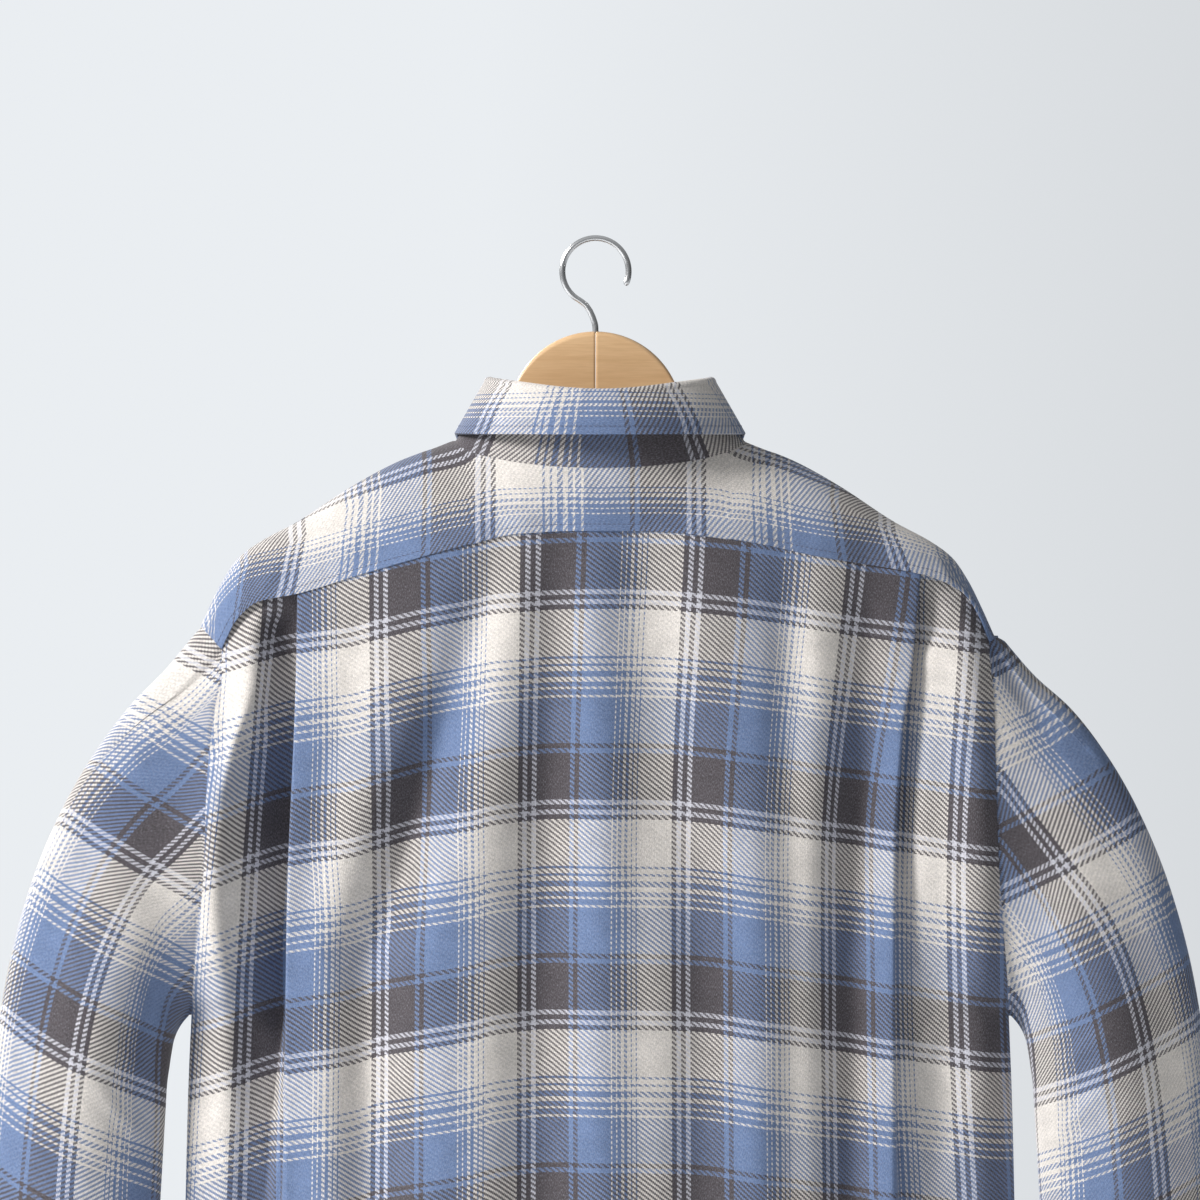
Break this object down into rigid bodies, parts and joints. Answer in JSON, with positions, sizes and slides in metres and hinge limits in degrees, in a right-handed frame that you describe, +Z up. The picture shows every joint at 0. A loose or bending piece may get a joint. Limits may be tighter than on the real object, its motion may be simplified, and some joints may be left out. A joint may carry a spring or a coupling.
{
  "type": "flannel shirt on a hanger",
  "caption": "A long-sleeved buttoned shirt with a collar and a pleated back, hanging on a two-piece wooden hanger with a wire hook.",
  "frame": {"origin": "The inside top of the hanger's hook, where a rail carries it.", "axes": "+Z is up, the shirt's front faces -Y and its back +Y, so the wearer's left is +X."},
  "size_m": [0.8296, 0.1605, 0.909],
  "materials": {
    "flannel_body": "brushed cotton twill in a plaid of cream, blue and charcoal brown, cut lengthwise",
    "flannel_crosswise": "the same brushed cotton twill, cut crosswise",
    "button_shell": "polished dark horn-coloured plastic",
    "pale_wood": "pale lacquered wood",
    "chromed_wire": "bright plated round wire"
  },
  "bodies": {
    "root": {"back": "flannel_body", "yoke": "flannel_crosswise", "front_left": "flannel_body", "front_right": "flannel_body", "placket": "flannel_body", "collar_stand": "flannel_crosswise", "collar_leaf": "flannel_crosswise", "sleeve_left": "flannel_body", "sleeve_right": "flannel_body", "cuff_left": "flannel_body", "cuff_right": "flannel_body", "button_1": "button_shell", "button_2": "button_shell", "button_3": "button_shell", "button_4": "button_shell", "button_5": "button_shell", "button_6": "button_shell", "button_collar": "button_shell", "button_cuff_left": "button_shell", "button_cuff_right": "button_shell", "hanger_left": "pale_wood", "hanger_right": "pale_wood", "hook": "chromed_wire"}
  },
  "joints": []
}
